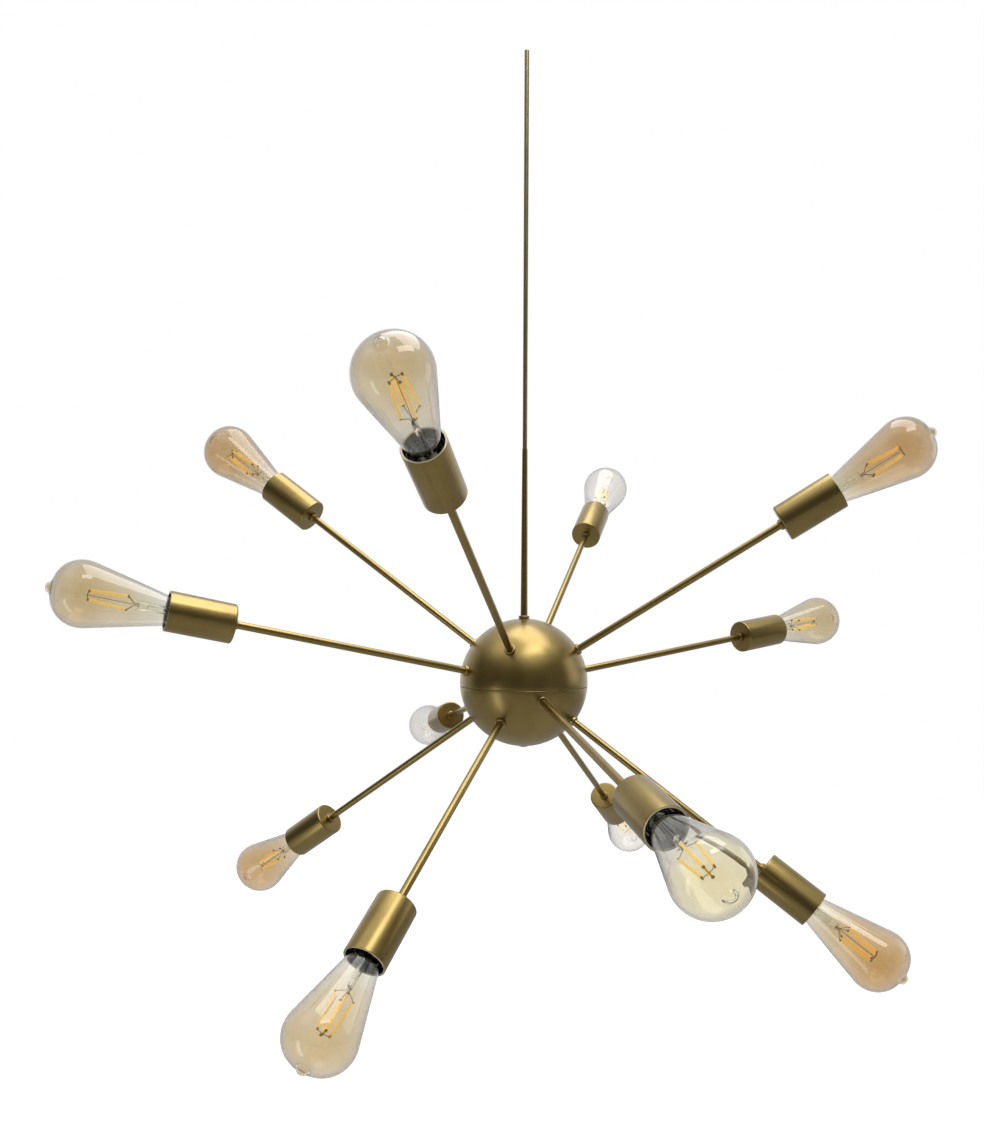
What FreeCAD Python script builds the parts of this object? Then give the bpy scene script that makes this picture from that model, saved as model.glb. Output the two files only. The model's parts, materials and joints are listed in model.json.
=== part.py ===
"""Sputnik chandelier: a hollow ball hub on a rod, with twelve straight arms, lamp cups and pear bulbs.

Millimetres, +Z up along the rod. The origin is the top end of the rod, where the lamp is held.
Every turned piece of an arm is drawn beside the arm's own axis, measured outward from the hub's
centre, and then laid along each of the twelve arm directions.
"""
import FreeCAD, Part
import math
import os
import Sketcher

Vector = FreeCAD.Vector
doc = FreeCAD.newDocument("sputnik_chandelier")
sheet = doc.addObject("Spreadsheet::Sheet", "Sizes")

# ---------------------------------------------------------------- driving dimensions
DRIVING = {
    # clearances
    "seat_gap": 0.05,
    "slip_gap": 0.1,
    "turn_gap": 0.08,
    "free_gap": 0.3,
    # ball hub: two shells that lap just below the ball's centre
    "hub_radius": 73,
    "hub_wall": 1.5,
    "seam_drop": 4,
    "seam_gap": 0.4,
    "lap_rise": 2,
    "lap_wall": 1.2,
    "lap_root": 1.4,
    "joggle": 1.4,
    # arm tubes, their collars and lock nuts
    "tube_radius": 4,
    "tube_wall": 1,
    "tube_tail": 8.5,
    "collar_radius": 6.2,
    "collar_rise": 3.2,
    "collar_bevel": 0.7,
    "nut_radius": 7.5,
    "nut_height": 4,
    # lamp cups
    "cup_place": 330,
    "cup_radius": 20,
    "cup_length": 64,
    "cup_wall": 1.2,
    "cup_floor": 1.5,
    "cup_edge": 1.8,
    "cup_ring_radius": 6,
    "cup_ring_height": 4,
    "cup_ring_step": 1.2,
    # lampholders inside the cups
    "holder_radius": 17.4,
    "holder_recess": 4,
    "holder_throat": 15.8,
    "throat_depth": 9,
    "holder_entry": 10,
    "holder_chamber": 12,
    "chamber_depth": 8,
    "holder_floor": 4,
    "shell_wall": 0.5,
    "tongue_radius": 4,
    # bulbs: screw cap, then the glass measured from the mouth of the cup
    "cap_radius": 13.1,
    "cap_wall": 0.6,
    "cap_length": 21,
    "cap_back": 7,
    "insulator_height": 3,
    "insulator_nose": 6,
    "contact_radius": 4.6,
    "contact_height": 2,
    "glass_wall": 0.9,
    "neck_depth": 14,
    "mouth_radius": 14.9,
    "bulb_radius": 32,
    "belly_place": 75,
    "belly_round": 27,
    "end_place": 103,
    "nipple_radius": 4.6,
    "nipple_tip": 3.2,
    "nipple_dome": 1.8,
    "nipple_rise": 4.5,
    # what the bulbs hold: a glass stem, four filament strips and their wires
    "flare_height": 12,
    "stem_glass_radius": 3.4,
    "stem_glass_top": 24,
    "filament_low": 36,
    "filament_high": 70,
    "filament_splay": 7.5,
    "filament_pinch": 3.2,
    "filament_width": 1.5,
    "filament_depth": 0.9,
    "wire_width": 0.7,
    # rod, in two lengths, and the screw that closes the ball from below
    "rod_reach": 692,
    "rod_break": 263,
    "rod_foot_radius": 4,
    "rod_waist_radius": 3,
    "rod_top_radius": 2.6,
    "rod_bore": 2.3,
    "rod_top_bore": 1.6,
    "spigot_length": 12,
    "window_width": 3,
    "window_height": 14,
    "screw_radius": 2.2,
    "screw_length": 18,
    "screw_head_radius": 6,
    "screw_head_rise": 1.6,
    "screw_rim": 0.4,
    # wiring
    "lead_radius": 2.2,
    "supply_radius": 1.2,
    "block_radius": 20,
    "block_height": 34,
    "block_bevel": 1.5,
    # directions of the arms, in degrees
    "upper_turn": -16.6,
    "lower_turn": -25.4,
    "upper_between": -45.7,
    "lower_between": -47.2,
    "upper_steep": 33.7,
    "upper_shallow": 10.2,
    "lower_steep": 33.7,
    "lower_shallow": 12.5,
}

# Each arm: the half of the ball it leaves, whether it is one of the four steep arms or one of the two
# shallow ones between them, its place in quarter turns, and how far it stands off the regular
# pattern in turn and in rise, in degrees.
ARMS = {
    "a": ("upper", "shallow", 1, -1.7, 1.5),
    "b": ("upper", "steep", 2, 0.1, 2.4),
    "c": ("upper", "steep", 1, 1.7, -1.1),
    "d": ("upper", "steep", 3, -2.6, 0.9),
    "e": ("upper", "steep", 0, 0.2, -2.0),
    "f": ("upper", "shallow", 3, 1.4, -1.6),
    "g": ("lower", "shallow", 2, 1.1, -0.1),
    "h": ("lower", "steep", 2, -0.4, 0.3),
    "i": ("lower", "steep", 1, 0.3, -0.1),
    "j": ("lower", "shallow", 0, -1.6, 0.1),
    "k": ("lower", "steep", 0, 0.0, 0.4),
    "l": ("lower", "steep", 3, 0.1, -0.9),
}
QUARTER_TURN = 90

# ---------------------------------------------------------------- sizes that follow
FOLLOWING = {
    "hub_inner": "hub_radius - hub_wall",
    "hub_bottom": "-hub_radius",
    "hub_inner_bottom": "-hub_inner",
    "seam_upper": "-seam_drop",
    "seam_lower": "-seam_drop - seam_gap",
    "tube_bore": "tube_radius - tube_wall",
    "tube_hole": "tube_radius + slip_gap",
    "rod_hole": "rod_foot_radius + slip_gap",
    # the lip of the lower shell, which stands inside the upper one
    "lap_outer": "sqrt(hub_inner^2 - seam_drop^2) - slip_gap",
    "lap_inner": "lap_outer - lap_wall",
    "lap_foot": "seam_lower - lap_root",
    "joggle_foot": "lap_foot - joggle",
    "screw_hole": "screw_radius + slip_gap",
    # arm tube ends
    "tube_start": "hub_inner - tube_tail",
    "cup_inner_back": "cup_place + cup_floor",
    "holder_back": "cup_inner_back + seat_gap",
    "tube_end": "holder_back + holder_entry",
    # collars sit on the ball, nuts under its wall
    "collar_bore": "tube_radius + seat_gap",
    "collar_top": "hub_radius + collar_rise",
    "collar_shoulder": "collar_top - collar_bevel",
    "collar_crown": "collar_radius - collar_bevel",
    "collar_seat": "hub_radius + seat_gap",
    "nut_top": "sqrt(hub_inner^2 - nut_radius^2) - seat_gap",
    "nut_foot": "nut_top - nut_height",
    # cup
    "cup_mouth": "cup_place + cup_length",
    "cup_bore": "cup_radius - cup_wall",
    "cup_back_radius": "cup_radius - cup_edge",
    "cup_back_edge": "cup_place + cup_edge",
    "cup_ring_top": "cup_place - seat_gap",
    "cup_ring_foot": "cup_ring_top - cup_ring_height",
    "cup_ring_shelf": "cup_ring_foot + cup_ring_step",
    "cup_ring_crown": "cup_ring_radius - cup_ring_step",
    # lampholder
    "holder_face": "cup_mouth - holder_recess",
    "throat_foot": "holder_face - throat_depth",
    "shell_bore": "cap_radius + turn_gap",
    "shell_outer": "shell_bore + shell_wall",
    "shell_seat": "shell_outer + seat_gap",
    "chamber_foot": "holder_back + holder_entry + seat_gap",
    "chamber_top": "chamber_foot + chamber_depth",
    "holder_deck": "chamber_top + holder_floor",
    "shell_foot": "holder_deck + seat_gap",
    "shell_top": "throat_foot - seat_gap",
    # bulb cap
    "cap_rim": "cup_mouth - cap_back",
    "cap_foot": "cap_rim - cap_length",
    "cap_bore": "cap_radius - cap_wall",
    "cap_deck": "cap_foot + cap_wall",
    "cap_eye": "insulator_nose + slip_gap",
    "insulator_skirt": "cap_foot - seat_gap",
    "insulator_edge": "cap_radius - free_gap",
    "insulator_foot": "cap_foot - insulator_height",
    "contact_top": "insulator_foot - seat_gap",
    "contact_foot": "contact_top - contact_height",
    "tongue_top": "contact_foot - free_gap",
    # glass envelope: neck, straight flank, round belly and flatter end
    "neck_radius": "cap_bore - turn_gap",
    "neck_foot": "cap_rim - neck_depth",
    "neck_top": "cap_rim + free_gap",
    "belly_height": "cup_mouth + belly_place",
    "belly_offset": "bulb_radius - belly_round",
    "flank_run": "belly_height - cup_mouth",
    "flank_rise": "belly_offset - mouth_radius",
    "flank_square": "flank_run^2 + flank_rise^2",
    "flank_length": "sqrt(flank_square - belly_round^2)",
    "flank_share": "flank_length / flank_square",
    "flank_top": "cup_mouth + flank_share*(flank_length*flank_run - belly_round*flank_rise)",
    "flank_edge": "mouth_radius + flank_share*(flank_length*flank_rise + belly_round*flank_run)",
    "flank_slope": "(flank_edge - mouth_radius) / (flank_top - cup_mouth)",
    "shoulder_height": "neck_top + (cap_radius - neck_radius)",
    "shoulder_radius": "mouth_radius - flank_slope*(cup_mouth - shoulder_height)",
    "end_height": "cup_mouth + end_place",
    "end_excess": "end_place - belly_place - belly_round",
    "end_back": "(belly_offset^2 - end_excess^2) / (2*end_excess)",
    "end_centre": "belly_height - end_back",
    "end_round": "end_height - end_centre",
    "blend_height": "belly_height + belly_round*end_back/(end_round - belly_round)",
    "blend_radius": "belly_offset + belly_round*belly_offset/(end_round - belly_round)",
    "nipple_foot": "end_centre + sqrt(end_round^2 - nipple_radius^2)",
    "nipple_top": "end_height + nipple_rise",
    "nipple_edge": "nipple_top - nipple_dome",
    "nipple_centre": "nipple_top - (nipple_tip^2 + nipple_dome^2) / (2*nipple_dome)",
    "inner_neck": "neck_radius - glass_wall",
    "inner_shoulder": "shoulder_radius - glass_wall",
    "inner_belly": "belly_round - glass_wall",
    "inner_edge": "belly_offset + inner_belly*(flank_edge - belly_offset)/belly_round",
    "inner_flank_top": "belly_height + inner_belly*(flank_top - belly_height)/belly_round",
    "inner_blend_radius": "belly_offset + inner_belly*belly_offset/(end_round - belly_round)",
    "inner_blend_height": "belly_height + inner_belly*end_back/(end_round - belly_round)",
    "inner_end": "end_height - glass_wall",
    # glass stem and filaments
    "flare_radius": "inner_neck - seat_gap",
    "flare_foot": "neck_foot",
    "flare_top": "flare_foot + flare_height",
    "stem_glass_end": "cup_mouth + stem_glass_top",
    "strip_low": "cup_mouth + filament_low",
    "strip_high": "cup_mouth + filament_high",
    # rod
    "rod_foot": "-sqrt(hub_inner^2 - rod_foot_radius^2) + seat_gap",
    "rod_straight": "collar_top",
    "spigot_radius": "rod_bore - seat_gap",
    "spigot_foot": "rod_break - spigot_length",
    "rod_shoulder": "rod_break + seat_gap",
    "window_left": "-window_width / 2",
    "window_right": "window_width / 2",
    "window_foot": "-window_height / 2",
    "window_top": "window_height / 2",
    "screw_tip": "screw_length - hub_radius",
    "screw_seat": "-hub_radius - seat_gap",
    "screw_seat_radius": "hub_radius + seat_gap",
    "screw_edge_height": "-sqrt(screw_seat_radius^2 - screw_head_radius^2)",
    "screw_head_foot": "-hub_radius - screw_head_rise",
    "screw_rim_height": "screw_edge_height - screw_rim",
    "screw_dome_drop": "screw_rim_height - screw_head_foot",
    "screw_dome_round": "(screw_head_radius^2 + screw_dome_drop^2) / (2*screw_dome_drop)",
    "screw_dome_centre": "screw_head_foot + screw_dome_round",
    # terminal block and leads
    "block_bore": "rod_foot_radius + slip_gap",
    "block_top": "block_height / 2",
    "block_foot": "-block_height / 2",
    "block_shoulder": "block_top - block_bevel",
    "block_ankle": "block_foot + block_bevel",
    "block_rim": "block_radius - block_bevel",
    "block_nut_top": "block_foot - seat_gap",
    "lead_end": "chamber_top - free_gap",
    "supply_end": "block_foot / 2",
}


def fill_sheet():
    """Names down the first column of the sheet, their numbers or formulas beside them."""
    lines = [(name, str(number)) for name, number in DRIVING.items()]
    lines += [(name, "=" + formula) for name, formula in FOLLOWING.items()]
    for row, (name, content) in enumerate(lines, 1):
        sheet.set("A%d" % row, name)
        sheet.set("B%d" % row, content)
        sheet.setAlias("B%d" % row, name)
    doc.recompute()


fill_sheet()


def size(name):
    """The number in the sheet's cell of that name."""
    return float(sheet.get(name))


def bound(name):
    return "Sizes." + name


# ---------------------------------------------------------------- frames of the pieces
HUB_CENTRE = Vector(0, 0, -size("rod_reach"))
HUB_FRAME = FreeCAD.Placement(HUB_CENTRE, FreeCAD.Rotation())


def arm_angles(arm):
    """Turn about the rod and rise above the horizontal of an arm, in degrees."""
    half, kind, quarters, turn_off, rise_off = ARMS[arm]
    turn = size(half + "_turn") - QUARTER_TURN * quarters + turn_off
    if kind == "shallow":
        turn += size(half + "_between")
    rise = size(half + "_" + kind) + rise_off
    return turn, rise if half == "upper" else -rise


def arm_frame(arm):
    """Hub centre, with the local Z axis running out along the arm."""
    turn, rise = arm_angles(arm)
    about_rod = FreeCAD.Rotation(Vector(0, 0, 1), turn)
    from_upright = FreeCAD.Rotation(Vector(0, 1, 0), 90 - rise)
    return FreeCAD.Placement(HUB_CENTRE, about_rod.multiply(from_upright))


# ---------------------------------------------------------------- building blocks
def arc(centre_across, centre_along, radius=None):
    return centre_across, centre_along, radius


def corner(across, along, edge=None, hold="xy"):
    """A corner of an outline: sizes' names, or 0 on the axis, and what the edge to the next one is."""
    return {"at": (across, along), "edge": edge, "hold": hold}


def value_of(name):
    return 0.0 if name == 0 else size(name)


def drive(sketch, kind, geometry, point, name):
    """Tie one coordinate of a point to a cell of the sheet, or to the axis."""
    if name == 0:
        axis = -2 if kind == "DistanceX" else -1
        sketch.addConstraint(Sketcher.Constraint("PointOnObject", geometry, point, axis))
        return
    index = sketch.addConstraint(Sketcher.Constraint(kind, geometry, point, size(name)))
    sketch.setExpression("Constraints[%d]" % index, bound(name))


def edge_geometry(start, end, edge):
    """A line or an arc between two corners, and which of its ends lies at each corner."""
    if edge is None:
        return Part.LineSegment(start, end), 1, 2
    centre = Vector(value_of(edge[0]), value_of(edge[1]), 0)
    radius = (start - centre).Length
    first = math.atan2(start.y - centre.y, start.x - centre.x)
    sweep = math.atan2(end.y - centre.y, end.x - centre.x) - first
    sweep = (sweep + math.pi) % (2 * math.pi) - math.pi
    circle = Part.Circle(centre, Vector(0, 0, 1), radius)
    if sweep > 0:
        return Part.ArcOfCircle(circle, first, first + sweep), 1, 2
    return Part.ArcOfCircle(circle, first + sweep, first), 2, 1


def draw_outline(sketch, corners):
    """Closed outline through the corners, each coordinate driven by the sheet."""
    places = [Vector(value_of(c["at"][0]), value_of(c["at"][1]), 0) for c in corners]
    ends = []
    for number, item in enumerate(corners):
        following = places[(number + 1) % len(corners)]
        geometry, first, last = edge_geometry(places[number], following, item["edge"])
        ends.append((sketch.addGeometry(geometry, False), first, last))
    for number, item in enumerate(corners):
        index, first, _ = ends[number]
        before, _, last = ends[number - 1]
        sketch.addConstraint(Sketcher.Constraint("Coincident", before, last, index, first))
        if "x" in item["hold"]:
            drive(sketch, "DistanceX", index, first, item["at"][0])
        if "y" in item["hold"]:
            drive(sketch, "DistanceY", index, first, item["at"][1])
        if item["edge"] is None:
            continue
        across, along, radius = item["edge"]
        if across == 0 and along == 0:
            sketch.addConstraint(Sketcher.Constraint("Coincident", index, 3, -1, 1))
        else:
            drive(sketch, "DistanceX", index, 3, across)
            drive(sketch, "DistanceY", index, 3, along)
        if radius is not None:
            row = sketch.addConstraint(Sketcher.Constraint("Radius", index, size(radius)))
            sketch.setExpression("Constraints[%d]" % row, bound(radius))


def origin_plane(body, role):
    return next(item for item in body.Origin.OriginFeatures if item.Role == role)


def new_body(label, placement):
    body = doc.addObject("PartDesign::Body", label)
    body.Label = label
    body.Placement = placement
    return body


def plane_sketch(body, role, name):
    sketch = body.newObject("Sketcher::SketchObject", name)
    sketch.AttachmentSupport = [(origin_plane(body, role), "")]
    sketch.MapMode = "FlatFace"
    return sketch


def turned(label, corners, placement=FreeCAD.Placement()):
    """A body of revolution about its own Z axis: radius across, distance along."""
    body = new_body(label, placement)
    sketch = plane_sketch(body, "XZ_Plane", label + "_outline")
    draw_outline(sketch, corners)
    turn = body.newObject("PartDesign::Revolution", label + "_turn")
    turn.Profile = sketch
    turn.ReferenceAxis = (sketch, ["V_Axis"])
    turn.Angle = 360
    return body


def copy_at(label, pieces, placement):
    """The same pieces again, laid at another place."""
    group = doc.addObject("Part::Compound", label)
    group.Label = label
    group.Links = pieces
    group.Placement = placement
    return group


def box(label, lengths, placement):
    item = doc.addObject("Part::Box", label)
    for side, name in zip(("Length", "Width", "Height"), lengths):
        if isinstance(name, str):
            item.setExpression(side, bound(name))
        else:
            setattr(item, side, name)
    item.Placement = placement
    return item


def rod_between(label, start, end, across, deep, end_gap=0.0):
    """A straight bar of rectangular section from one point to another."""
    run = end - start
    turn = FreeCAD.Rotation(Vector(0, 0, 1), run)
    corner_shift = turn.multVec(Vector(-size(across) / 2, -size(deep) / 2, end_gap))
    place = FreeCAD.Placement(start + corner_shift, turn)
    return box(label, (across, deep, run.Length - 2 * end_gap), place)


nodes = {}


def keep(label, item):
    """Note a finished sub-part, whose label names its file."""
    item.Label = label
    nodes[label] = item
    return item


def keep_group(label, pieces):
    group = doc.addObject("Part::Compound", label)
    group.Links = pieces
    return keep(label, group)


# ---------------------------------------------------------------- ball hub
def drill(label, arms):
    """Round drills along the arms, through the wall of the ball."""
    tools = []
    for arm in arms:
        tool = doc.addObject("Part::Cylinder", label + "_" + arm)
        tool.setExpression("Radius", bound("tube_hole"))
        tool.setExpression("Height", bound("hub_radius"))
        tool.Placement = arm_frame(arm).multiply(
            FreeCAD.Placement(Vector(0, 0, size("hub_radius") / 2), FreeCAD.Rotation()))
        tools.append(tool)
    cutter = doc.addObject("Part::MultiFuse", label)
    cutter.Shapes = tools
    return cutter


def arms_of(half):
    return [arm for arm in ARMS if ARMS[arm][0] == half]


def drilled_shell(label, corners, half):
    blank = turned(label + "_blank", corners, HUB_FRAME)
    shell = doc.addObject("Part::Cut", label)
    shell.Base = blank
    shell.Tool = drill(label + "_drill", arms_of(half))
    return keep(label, shell)


def build_hub():
    ball = arc(0, 0, "hub_radius")
    hollow = arc(0, 0, "hub_inner")
    upper = [
        corner("rod_hole", "hub_radius", ball, hold="x"),
        corner("hub_radius", "seam_upper", hold="y"),
        corner("hub_inner", "seam_upper", hollow, hold="y"),
        corner("rod_hole", "hub_inner", hold="x"),
    ]
    lower = [
        corner("screw_hole", "hub_bottom", ball, hold="x"),
        corner("hub_radius", "seam_lower", hold="y"),
        corner("lap_outer", "seam_lower"),
        corner("lap_outer", "lap_rise"),
        corner("lap_inner", "lap_rise"),
        corner("lap_inner", "lap_foot"),
        corner("hub_inner", "joggle_foot", hollow, hold="y"),
        corner("screw_hole", "hub_inner_bottom", hold="x"),
    ]
    drilled_shell("hub_upper_shell", upper, "upper")
    drilled_shell("hub_lower_shell", lower, "lower")


# ---------------------------------------------------------------- arms, collars and lock nuts
def build_arm_tube(arm):
    outline = [
        corner("tube_bore", "tube_start"),
        corner("tube_radius", "tube_start"),
        corner("tube_radius", "tube_end"),
        corner("tube_bore", "tube_end"),
    ]
    label = "arm_tube_" + arm
    keep(label, turned(label, outline, arm_frame(arm)))


def hub_collar():
    """Ring round a tube, its foot hollowed to sit on the ball."""
    return turned("hub_collar", [
        corner("collar_radius", "collar_seat", arc(0, 0, "collar_seat"), hold="x"),
        corner("collar_bore", "collar_seat", hold="x"),
        corner("collar_bore", "collar_top"),
        corner("collar_crown", "collar_top"),
        corner("collar_radius", "collar_shoulder"),
    ])


def lock_nut():
    """Hexagon nut on a tube's thread, its top face against the wall of the ball."""
    block = doc.addObject("Part::Prism", "lock_nut_block")
    block.Polygon = 6
    block.setExpression("Circumradius", bound("nut_radius"))
    block.setExpression("Height", bound("nut_height"))
    block.Placement = FreeCAD.Placement(Vector(0, 0, size("nut_foot")), FreeCAD.Rotation())
    hole = doc.addObject("Part::Cylinder", "lock_nut_hole")
    hole.setExpression("Radius", bound("collar_bore"))
    hole.setExpression("Height", bound("hub_radius"))
    below = Vector(0, 0, size("nut_foot") - size("nut_height"))
    hole.Placement = FreeCAD.Placement(below, FreeCAD.Rotation())
    nut = doc.addObject("Part::Cut", "lock_nut")
    nut.Base = block
    nut.Tool = hole
    return nut


def cup_ring():
    """Stepped ring where the tube enters the back of the cup."""
    return turned("cup_ring", [
        corner("collar_bore", "cup_ring_foot"),
        corner("cup_ring_crown", "cup_ring_foot"),
        corner("cup_ring_crown", "cup_ring_shelf"),
        corner("cup_ring_radius", "cup_ring_shelf"),
        corner("cup_ring_radius", "cup_ring_top"),
        corner("collar_bore", "cup_ring_top"),
    ])


def build_collars_and_nuts():
    collar = hub_collar()
    nut = lock_nut()
    ring = cup_ring()
    collars = [copy_at("hub_collar_" + arm, [collar], arm_frame(arm)) for arm in ARMS]
    collars.append(copy_at("hub_collar_rod", [collar], HUB_FRAME))
    keep_group("hub_collars", collars)
    nuts = [copy_at("lock_nut_" + arm, [nut], arm_frame(arm)) for arm in ARMS]
    nuts.append(copy_at("lock_nut_rod", [nut], HUB_FRAME))
    under_block = Vector(0, 0, size("block_nut_top") - size("nut_top"))
    nuts.append(copy_at("lock_nut_block_rod", [nut], HUB_FRAME.multiply(
        FreeCAD.Placement(under_block, FreeCAD.Rotation()))))
    keep_group("hub_lock_nuts", nuts)
    keep_group("cup_rings", [copy_at("cup_ring_" + arm, [ring], arm_frame(arm)) for arm in ARMS])


# ---------------------------------------------------------------- lamp cups and lampholders
def build_lamp_cup(arm):
    outline = [
        corner("tube_hole", "cup_place"),
        corner("cup_back_radius", "cup_place", arc("cup_back_radius", "cup_back_edge")),
        corner("cup_radius", "cup_back_edge", hold="y"),
        corner("cup_radius", "cup_mouth"),
        corner("cup_bore", "cup_mouth"),
        corner("cup_bore", "cup_inner_back"),
        corner("tube_hole", "cup_inner_back"),
    ]
    label = "lamp_cup_" + arm
    keep(label, turned(label, outline, arm_frame(arm)))


def lampholder():
    """Insulating holder: tube socket behind, wiring chamber, floor, and the throat in front."""
    return turned("lampholder", [
        corner("collar_bore", "holder_back"),
        corner("holder_radius", "holder_back"),
        corner("holder_radius", "holder_face"),
        corner("holder_throat", "holder_face"),
        corner("holder_throat", "throat_foot"),
        corner("shell_seat", "throat_foot"),
        corner("shell_seat", "holder_deck"),
        corner(0, "holder_deck"),
        corner(0, "chamber_top"),
        corner("holder_chamber", "chamber_top"),
        corner("holder_chamber", "chamber_foot"),
        corner("collar_bore", "chamber_foot"),
    ])


def screw_shell():
    return turned("screw_shell", [
        corner("shell_bore", "shell_foot"),
        corner("shell_outer", "shell_foot"),
        corner("shell_outer", "shell_top"),
        corner("shell_bore", "shell_top"),
    ])


def centre_tongue():
    return turned("centre_tongue", [
        corner(0, "shell_foot"),
        corner("tongue_radius", "shell_foot"),
        corner("tongue_radius", "tongue_top"),
        corner(0, "tongue_top"),
    ])


def build_lampholders():
    body = lampholder()
    metal = [screw_shell(), centre_tongue()]
    keep_group("lampholder_bodies", [copy_at("lampholder_" + arm, [body], arm_frame(arm)) for arm in ARMS])
    keep_group("lampholder_contacts", [copy_at("contacts_" + arm, metal, arm_frame(arm)) for arm in ARMS])


# ---------------------------------------------------------------- bulbs
def screw_cap():
    return turned("screw_cap", [
        corner("cap_eye", "cap_foot"),
        corner("cap_radius", "cap_foot"),
        corner("cap_radius", "cap_rim"),
        corner("cap_bore", "cap_rim"),
        corner("cap_bore", "cap_deck"),
        corner("cap_eye", "cap_deck"),
    ])


def cap_insulator():
    return turned("cap_insulator", [
        corner(0, "insulator_foot"),
        corner("insulator_nose", "insulator_foot"),
        corner("insulator_edge", "insulator_skirt"),
        corner("insulator_nose", "insulator_skirt"),
        corner("insulator_nose", "cap_deck"),
        corner(0, "cap_deck"),
    ])


def cap_contact():
    return turned("cap_contact", [
        corner(0, "contact_foot"),
        corner("contact_radius", "contact_foot"),
        corner("contact_radius", "contact_top"),
        corner(0, "contact_top"),
    ])


def envelope():
    """Blown glass: neck in the cap, straight flank, round belly, flatter end and sealed nipple."""
    outer = [
        corner("inner_neck", "neck_foot"),
        corner("neck_radius", "neck_foot"),
        corner("neck_radius", "neck_top"),
        corner("shoulder_radius", "shoulder_height"),
        corner("flank_edge", "flank_top", arc("belly_offset", "belly_height", "belly_round"), hold="y"),
        corner("blend_radius", "blend_height", arc(0, "end_centre"), hold="x"),
        corner("nipple_radius", "nipple_foot", hold="x"),
        corner("nipple_tip", "nipple_edge", arc(0, "nipple_centre"), hold="x"),
        corner(0, "nipple_top"),
    ]
    inner = [
        corner(0, "inner_end", arc(0, "end_centre")),
        corner("inner_blend_radius", "inner_blend_height", arc("belly_offset", "belly_height"), hold="x"),
        corner("inner_edge", "inner_flank_top", hold="y"),
        corner("inner_shoulder", "shoulder_height"),
        corner("inner_neck", "neck_top"),
    ]
    return turned("envelope", outer + inner)


def glass_stem():
    """Flare in the neck and the rod of glass that rises from it."""
    return turned("glass_stem", [
        corner(0, "flare_foot"),
        corner("flare_radius", "flare_foot"),
        corner("stem_glass_radius", "flare_top"),
        corner("stem_glass_radius", "stem_glass_end"),
        corner(0, "stem_glass_end"),
    ])


FILAMENTS = 4


def filament_ends(number):
    """Neck end and tip end of a filament strip."""
    angle = math.radians(360 * (number + 0.5) / FILAMENTS)
    out = Vector(math.cos(angle), math.sin(angle), 0)
    low = out * size("filament_splay") + Vector(0, 0, size("strip_low"))
    high = out * size("filament_pinch") + Vector(0, 0, size("strip_high"))
    return low, high


def filament_pieces():
    """Four strips that draw together towards the tip, and the wire frame that carries them."""
    strips = []
    wires = []
    stem_end = Vector(0, 0, size("stem_glass_end") + size("wire_width"))
    tip = Vector(0, 0, size("strip_high") + size("wire_width"))
    wires.append(rod_between("centre_wire", stem_end, tip, "wire_width", "wire_width"))
    clear = size("wire_width")
    for number in range(FILAMENTS):
        low, high = filament_ends(number)
        strip = "filament_%d" % number
        strips.append(rod_between(strip, low, high, "filament_width", "filament_depth", clear))
        wires.append(rod_between("low_wire_%d" % number, stem_end, low, "wire_width", "wire_width"))
        wires.append(rod_between("high_wire_%d" % number, high, tip, "wire_width", "wire_width"))
    frame = doc.addObject("Part::MultiFuse", "wire_frame")
    frame.Shapes = wires
    return strips + [frame]


def build_bulbs():
    base = [screw_cap(), cap_insulator(), cap_contact()]
    glass = [envelope(), glass_stem()] + filament_pieces()
    for arm in ARMS:
        keep("bulb_base_" + arm, copy_at("bulb_base_" + arm, base, arm_frame(arm)))
        keep("bulb_glass_" + arm, copy_at("bulb_glass_" + arm, glass, arm_frame(arm)))


# ---------------------------------------------------------------- rod
def build_rod():
    lower = turned("rod_lower", [
        corner("rod_bore", "rod_foot"),
        corner("rod_foot_radius", "rod_foot"),
        corner("rod_foot_radius", "rod_straight"),
        corner("rod_waist_radius", "rod_break"),
        corner("rod_bore", "rod_break"),
    ], HUB_FRAME)
    window = plane_sketch(lower, "XZ_Plane", "lead_window")
    draw_outline(window, [
        corner("window_left", "window_foot"),
        corner("window_right", "window_foot"),
        corner("window_right", "window_top"),
        corner("window_left", "window_top"),
    ])
    opening = lower.newObject("PartDesign::Pocket", "lead_opening")
    opening.Profile = window
    opening.setExpression("Length", bound("rod_hole"))
    keep("rod_lower", lower)
    keep("rod_upper", turned("rod_upper", [
        corner("rod_top_bore", "spigot_foot"),
        corner("spigot_radius", "spigot_foot"),
        corner("spigot_radius", "rod_shoulder"),
        corner("rod_top_radius", "rod_shoulder"),
        corner("rod_top_radius", "rod_reach"),
        corner("rod_top_bore", "rod_reach"),
    ], HUB_FRAME))
    keep("bottom_screw", turned("bottom_screw", [
        corner(0, "screw_tip"),
        corner("screw_radius", "screw_tip"),
        corner("screw_radius", "screw_seat", arc(0, 0), hold="x"),
        corner("screw_head_radius", "screw_edge_height"),
        corner("screw_head_radius", "screw_rim_height", arc(0, "screw_dome_centre"), hold="x"),
        corner(0, "screw_head_foot"),
    ], HUB_FRAME))


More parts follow.
